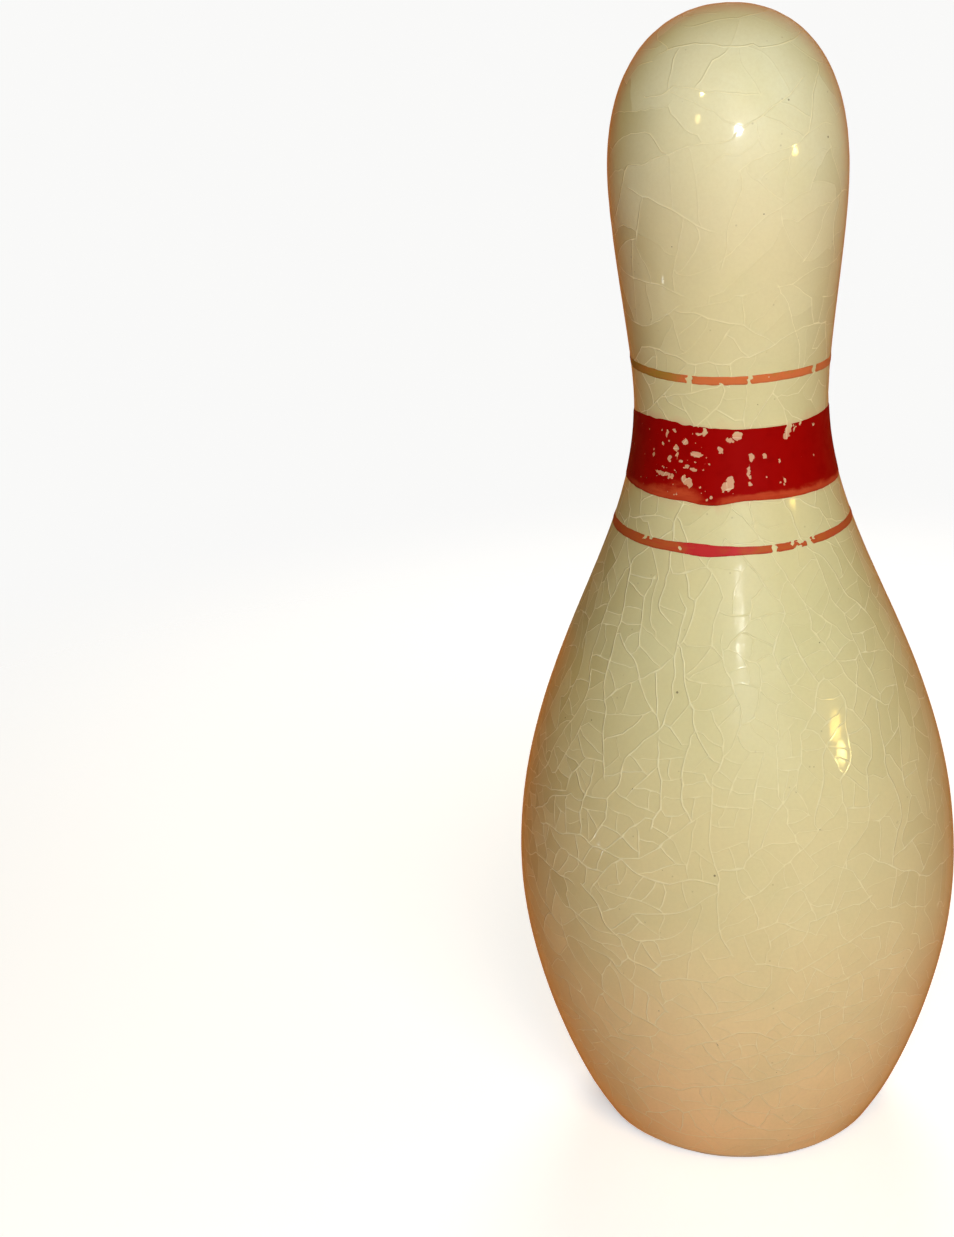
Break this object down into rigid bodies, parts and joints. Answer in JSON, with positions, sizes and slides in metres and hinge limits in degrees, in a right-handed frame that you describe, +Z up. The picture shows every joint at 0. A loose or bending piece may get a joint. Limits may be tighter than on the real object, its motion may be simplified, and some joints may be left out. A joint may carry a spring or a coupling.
{
  "type": "bowling pin ornament",
  "caption": "Small hollow glazed-earthenware bowling pin with painted neck bands, a bare foot ring and a pull-out cork in the base.",
  "frame": {"origin": "centre of the underside of the foot ring, on the surface that the pin stands on", "axes": "+Z up along the pin's axis; -Y is the front of the pin"},
  "size_m": [0.0474, 0.0474, 0.12],
  "materials": {
    "clay": "matte",
    "glaze": "gloss",
    "orange_paint": "satin",
    "red_paint": "satin",
    "brick_paint": "satin",
    "cork": "matte"
  },
  "bodies": {
    "pin": {"pin_body": "clay", "glaze_coat": "glaze", "upper_thin_band": "orange_paint", "wide_band": "red_paint", "lower_thin_band": "brick_paint"},
    "stopper": {"base_stopper": "cork"}
  },
  "joints": [
    {"name": "stopper_pull", "type": "slide", "parent": "pin", "child": "stopper", "axis": [0, 0, -1], "range_m": [0, 0.018]}
  ]
}
